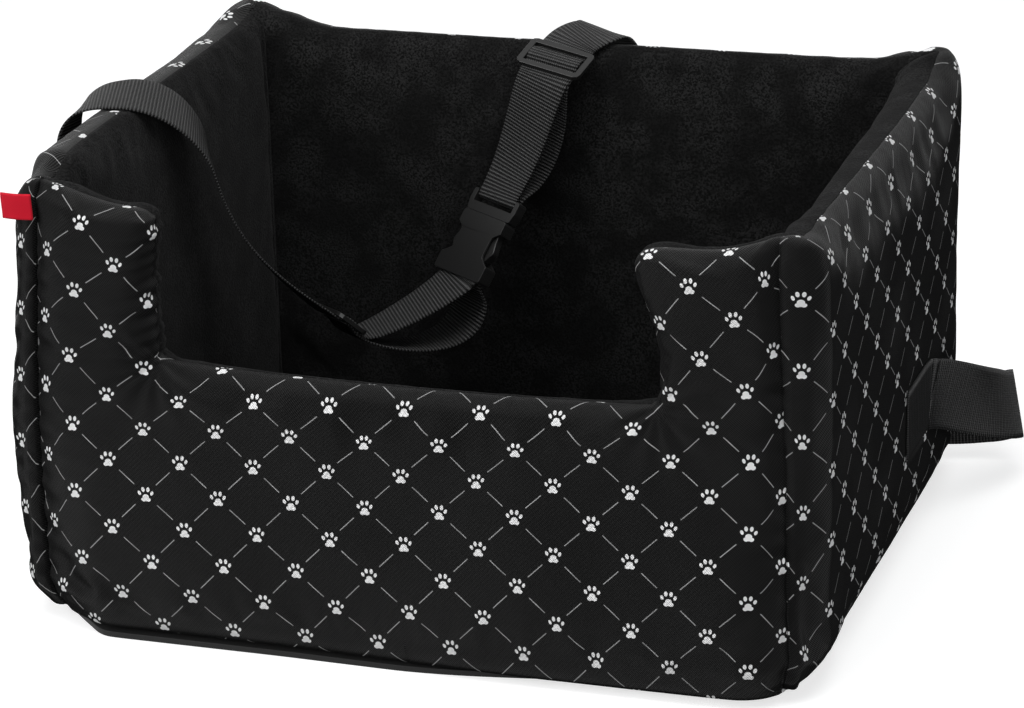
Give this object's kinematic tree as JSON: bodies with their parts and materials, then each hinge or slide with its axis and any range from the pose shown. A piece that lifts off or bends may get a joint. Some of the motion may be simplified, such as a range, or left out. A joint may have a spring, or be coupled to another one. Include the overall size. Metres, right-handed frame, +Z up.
{
  "type": "dog car seat",
  "caption": "Padded open-top car seat for a small dog, with a low front entry, plush inside, belt loops at the rear and two straps that join in a side-release buckle.",
  "frame": {"origin": "centre of the base's underside", "axes": "+X to the seat's right as seen from the front, +Y towards the rear wall, +Z up; the low entry faces -Y"},
  "size_m": [0.6378, 0.4267, 0.3145],
  "materials": {
    "printed_cover": "black twill print, soft sheen",
    "plush_lining": "black short-pile plush",
    "foam": "grey foam, hidden",
    "base_fabric": "matte black fabric",
    "board": "stiffening board, hidden",
    "webbing": "black ribbed webbing",
    "belt_webbing": "black seat-belt webbing",
    "black_plastic": "satin black moulded plastic",
    "red_tag": "plain red woven tag"
  },
  "bodies": {
    "seat": {"front_cover": "printed_cover", "rear_cover": "printed_cover", "left_cover": "printed_cover", "right_cover": "printed_cover", "front_lining": "plush_lining", "rear_lining": "plush_lining", "left_lining": "plush_lining", "right_lining": "plush_lining", "floor_pad": "plush_lining", "front_foam": "foam", "rear_foam": "foam", "left_foam": "foam", "right_foam": "foam", "base_panel": "base_fabric", "base_board": "board", "rear_strap": "webbing", "left_strap": "webbing", "right_belt_loop": "belt_webbing", "left_belt_loop": "belt_webbing", "socket": "black_plastic", "side_tag": "red_tag"},
    "plug": {"plug": "black_plastic"},
    "plug_left_arm": {"plug_left_arm": "black_plastic"},
    "plug_right_arm": {"plug_right_arm": "black_plastic"},
    "rear_slider": {"rear_slider": "black_plastic"},
    "left_slider": {"left_slider": "black_plastic"}
  },
  "joints": [
    {"name": "buckle_release", "type": "slide", "parent": "seat", "child": "plug", "axis": [0.3434, 0.4906, 0.8009], "range_m": [0, 0.026]},
    {"name": "left_arm_squeeze", "type": "hinge", "parent": "plug", "child": "plug_left_arm", "pos_m": [-0.06355, 0.13093, 0.18557], "axis": [-0.451, -0.6619, 0.5988], "range_deg": [0, 16]},
    {"name": "right_arm_squeeze", "type": "hinge", "parent": "plug", "child": "plug_right_arm", "pos_m": [-0.03455, 0.11098, 0.18536], "axis": [-0.451, -0.6619, 0.5988], "range_deg": [-16, 0]},
    {"name": "rear_slider_adjust", "type": "slide", "parent": "seat", "child": "rear_slider", "axis": [0.2807, 0.8721, 0.4009], "range_m": [-0.015, 0.01], "deforming": ["rear_strap"]},
    {"name": "left_slider_adjust", "type": "slide", "parent": "seat", "child": "left_slider", "axis": [-0.6004, -0.4203, 0.6804], "range_m": [-0.01, 0.015], "deforming": ["left_strap"]}
  ],
  "couplings": [
    {"joint": "left_arm_squeeze", "follows": "buckle_release", "rad_per_m": 10.5},
    {"joint": "right_arm_squeeze", "follows": "buckle_release", "rad_per_m": -10.5}
  ]
}
